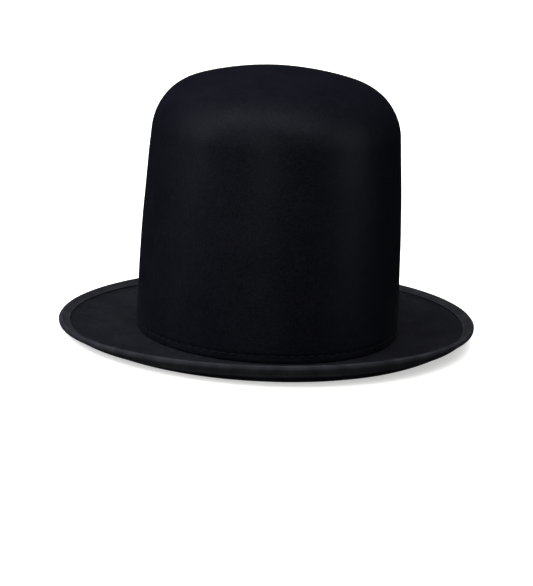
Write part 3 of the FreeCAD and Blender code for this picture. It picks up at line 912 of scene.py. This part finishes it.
crown_shell()
seam_stitches()
brim_ring()
binding()
binding_thread()
sweatband()
band_stitches()
back_seam()
bow()
lining_side()
lining_tip()
for node_name, node_material in KEPT_NODES.items():
    finish_node(node_name, node_material)


# ---------------------------------------------------------------- floor, light and camera

def floor():
    size = 9.0
    corners = [(-size, -size, 0), (size, -size, 0), (size, size, 0), (-size, size, 0)]
    mesh = bpy.data.meshes.new("studio_floor")
    mesh.from_pydata(corners, [], [(0, 1, 2, 3)])
    paper = Nodes("white_paper")
    grain = paper.noise(60, 2.0)
    paper.colour(paper.ramp(grain, (0.3, (0.83, 0.83, 0.83)), (0.7, (0.85, 0.85, 0.85))))
    paper.set(Roughness=0.9, Specular_IOR_Level=0.1, Emission_Color=(1.0, 1.0, 1.0, 1.0),
              Emission_Strength=FLOOR_GLOW)
    mesh.materials.append(paper.material)
    obj = bpy.data.objects.new("studio_floor", mesh)
    # the white floor would brighten the black felt, mirrored at grazing angles and as bounced light
    obj.visible_glossy = False
    obj.visible_diffuse = False
    bpy.context.scene.collection.objects.link(obj)


def softbox(name, place, size, power):
    """A rectangular light in metres that faces the hat and that the camera doesn't see."""
    light = bpy.data.lights.new(name, "AREA")
    light.shape = "RECTANGLE"
    light.size, light.size_y = size
    light.energy = power
    light.color = SOFTBOX_COLOUR
    obj = bpy.data.objects.new(name, light)
    obj.location = place
    obj.rotation_euler = (Vector(SOFTBOX_TARGET) - Vector(place)).to_track_quat("-Z", "Y").to_euler()
    obj.visible_camera = False
    bpy.context.scene.collection.objects.link(obj)
    return obj


def map_range(nodes, low, high, result_low, result_high):
    node = nodes.new("ShaderNodeMapRange")
    node.inputs["From Min"].default_value = low
    node.inputs["From Max"].default_value = high
    node.inputs["To Min"].default_value = result_low
    node.inputs["To Max"].default_value = result_high
    return node


def sky():
    """A white sky, dim at the horizon and on the right, which only fills the shadows."""
    world = bpy.data.worlds.new("studio")
    bpy.context.scene.world = world
    world.use_nodes = True
    # the highlights come from the soft boxes
    world.cycles_visibility.glossy = False
    nodes, links = world.node_tree.nodes, world.node_tree.links
    place = nodes.new("ShaderNodeTexCoord")
    split = nodes.new("ShaderNodeSeparateXYZ")
    upwards = map_range(nodes, 0.35, 0.9, LOW_LIGHT, SKY_LIGHT)
    upwards.interpolation_type = "SMOOTHSTEP"
    sideways = map_range(nodes, -1.0, 1.0, SKY_LEFT, SKY_RIGHT)
    both = nodes.new("ShaderNodeMath")
    both.operation = "MULTIPLY"
    background = nodes["Background"]
    background.inputs["Color"].default_value = (*SKY_COLOUR, 1.0)
    links.new(place.outputs["Generated"], split.inputs[0])
    links.new(split.outputs["Z"], upwards.inputs["Value"])
    links.new(split.outputs["X"], sideways.inputs["Value"])
    links.new(upwards.outputs["Result"], both.inputs[0])
    links.new(sideways.outputs["Result"], both.inputs[1])
    links.new(both.outputs[0], background.inputs["Strength"])


def soft_boxes():
    """Long strips overhead, in front and at both sides draw the highlights; a broad one behind fills."""
    softbox("overhead", (-0.1, -0.42, 1.35), (3.2, 0.2), OVERHEAD_LIGHT)
    softbox("front", (-0.25, -1.6, 0.5), (0.3, 0.8), FRONT_LIGHT)
    softbox("left", (-1.3, -0.2, 0.6), (0.2, 0.9), LEFT_LIGHT)
    # at a grazing angle a mirrored back light would draw a white line along the lip, so it isn't mirrored
    softbox("behind", (-1.5, 0.6, 0.6), (1.2, 0.8), BACK_LIGHT).visible_glossy = False
    # the right strip is only mirrored, because the right side of the brim is the darker one
    softbox("right", (1.3, -0.25, 0.45), (0.2, 0.9), RIGHT_LIGHT).visible_diffuse = False


def camera():
    """Looks from a little above at a point above the hat's base, slightly rolled."""
    elevation = math.radians(CAMERA_HEIGHT_ANGLE)
    roll = math.radians(CAMERA_ROLL)
    raised = math.radians(CAMERA_RAISE)
    base = Vector((0, 0, BRIM_FELT * MM))
    ahead = Vector((0, math.cos(elevation), -math.sin(elevation)))
    up = Vector((0, math.sin(elevation), math.cos(elevation)))
    right = Vector((1, 0, 0))
    x_axis = right * math.cos(roll) + up * math.sin(roll)
    y_axis = up * math.cos(roll) - right * math.sin(roll)
    # the base sits below the middle of the frame, so the camera looks a little above it
    look = ahead * math.cos(raised) + y_axis * math.sin(raised)
    y_axis = y_axis * math.cos(raised) - ahead * math.sin(raised)
    data = bpy.data.cameras.new("camera")
    data.sensor_width = SENSOR_WIDTH
    data.lens = CAMERA_LENS
    data.dof.use_dof = False
    obj = bpy.data.objects.new("camera", data)
    place = base - ahead * CAMERA_DISTANCE
    obj.matrix_world = Matrix((
        (x_axis.x, y_axis.x, -look.x, place.x),
        (x_axis.y, y_axis.y, -look.y, place.y),
        (x_axis.z, y_axis.z, -look.z, place.z),
        (0, 0, 0, 1),
    ))
    bpy.context.scene.collection.objects.link(obj)
    bpy.context.scene.camera = obj


floor()
sky()
soft_boxes()
camera()
bpy.context.scene.view_settings.view_transform = "Standard"
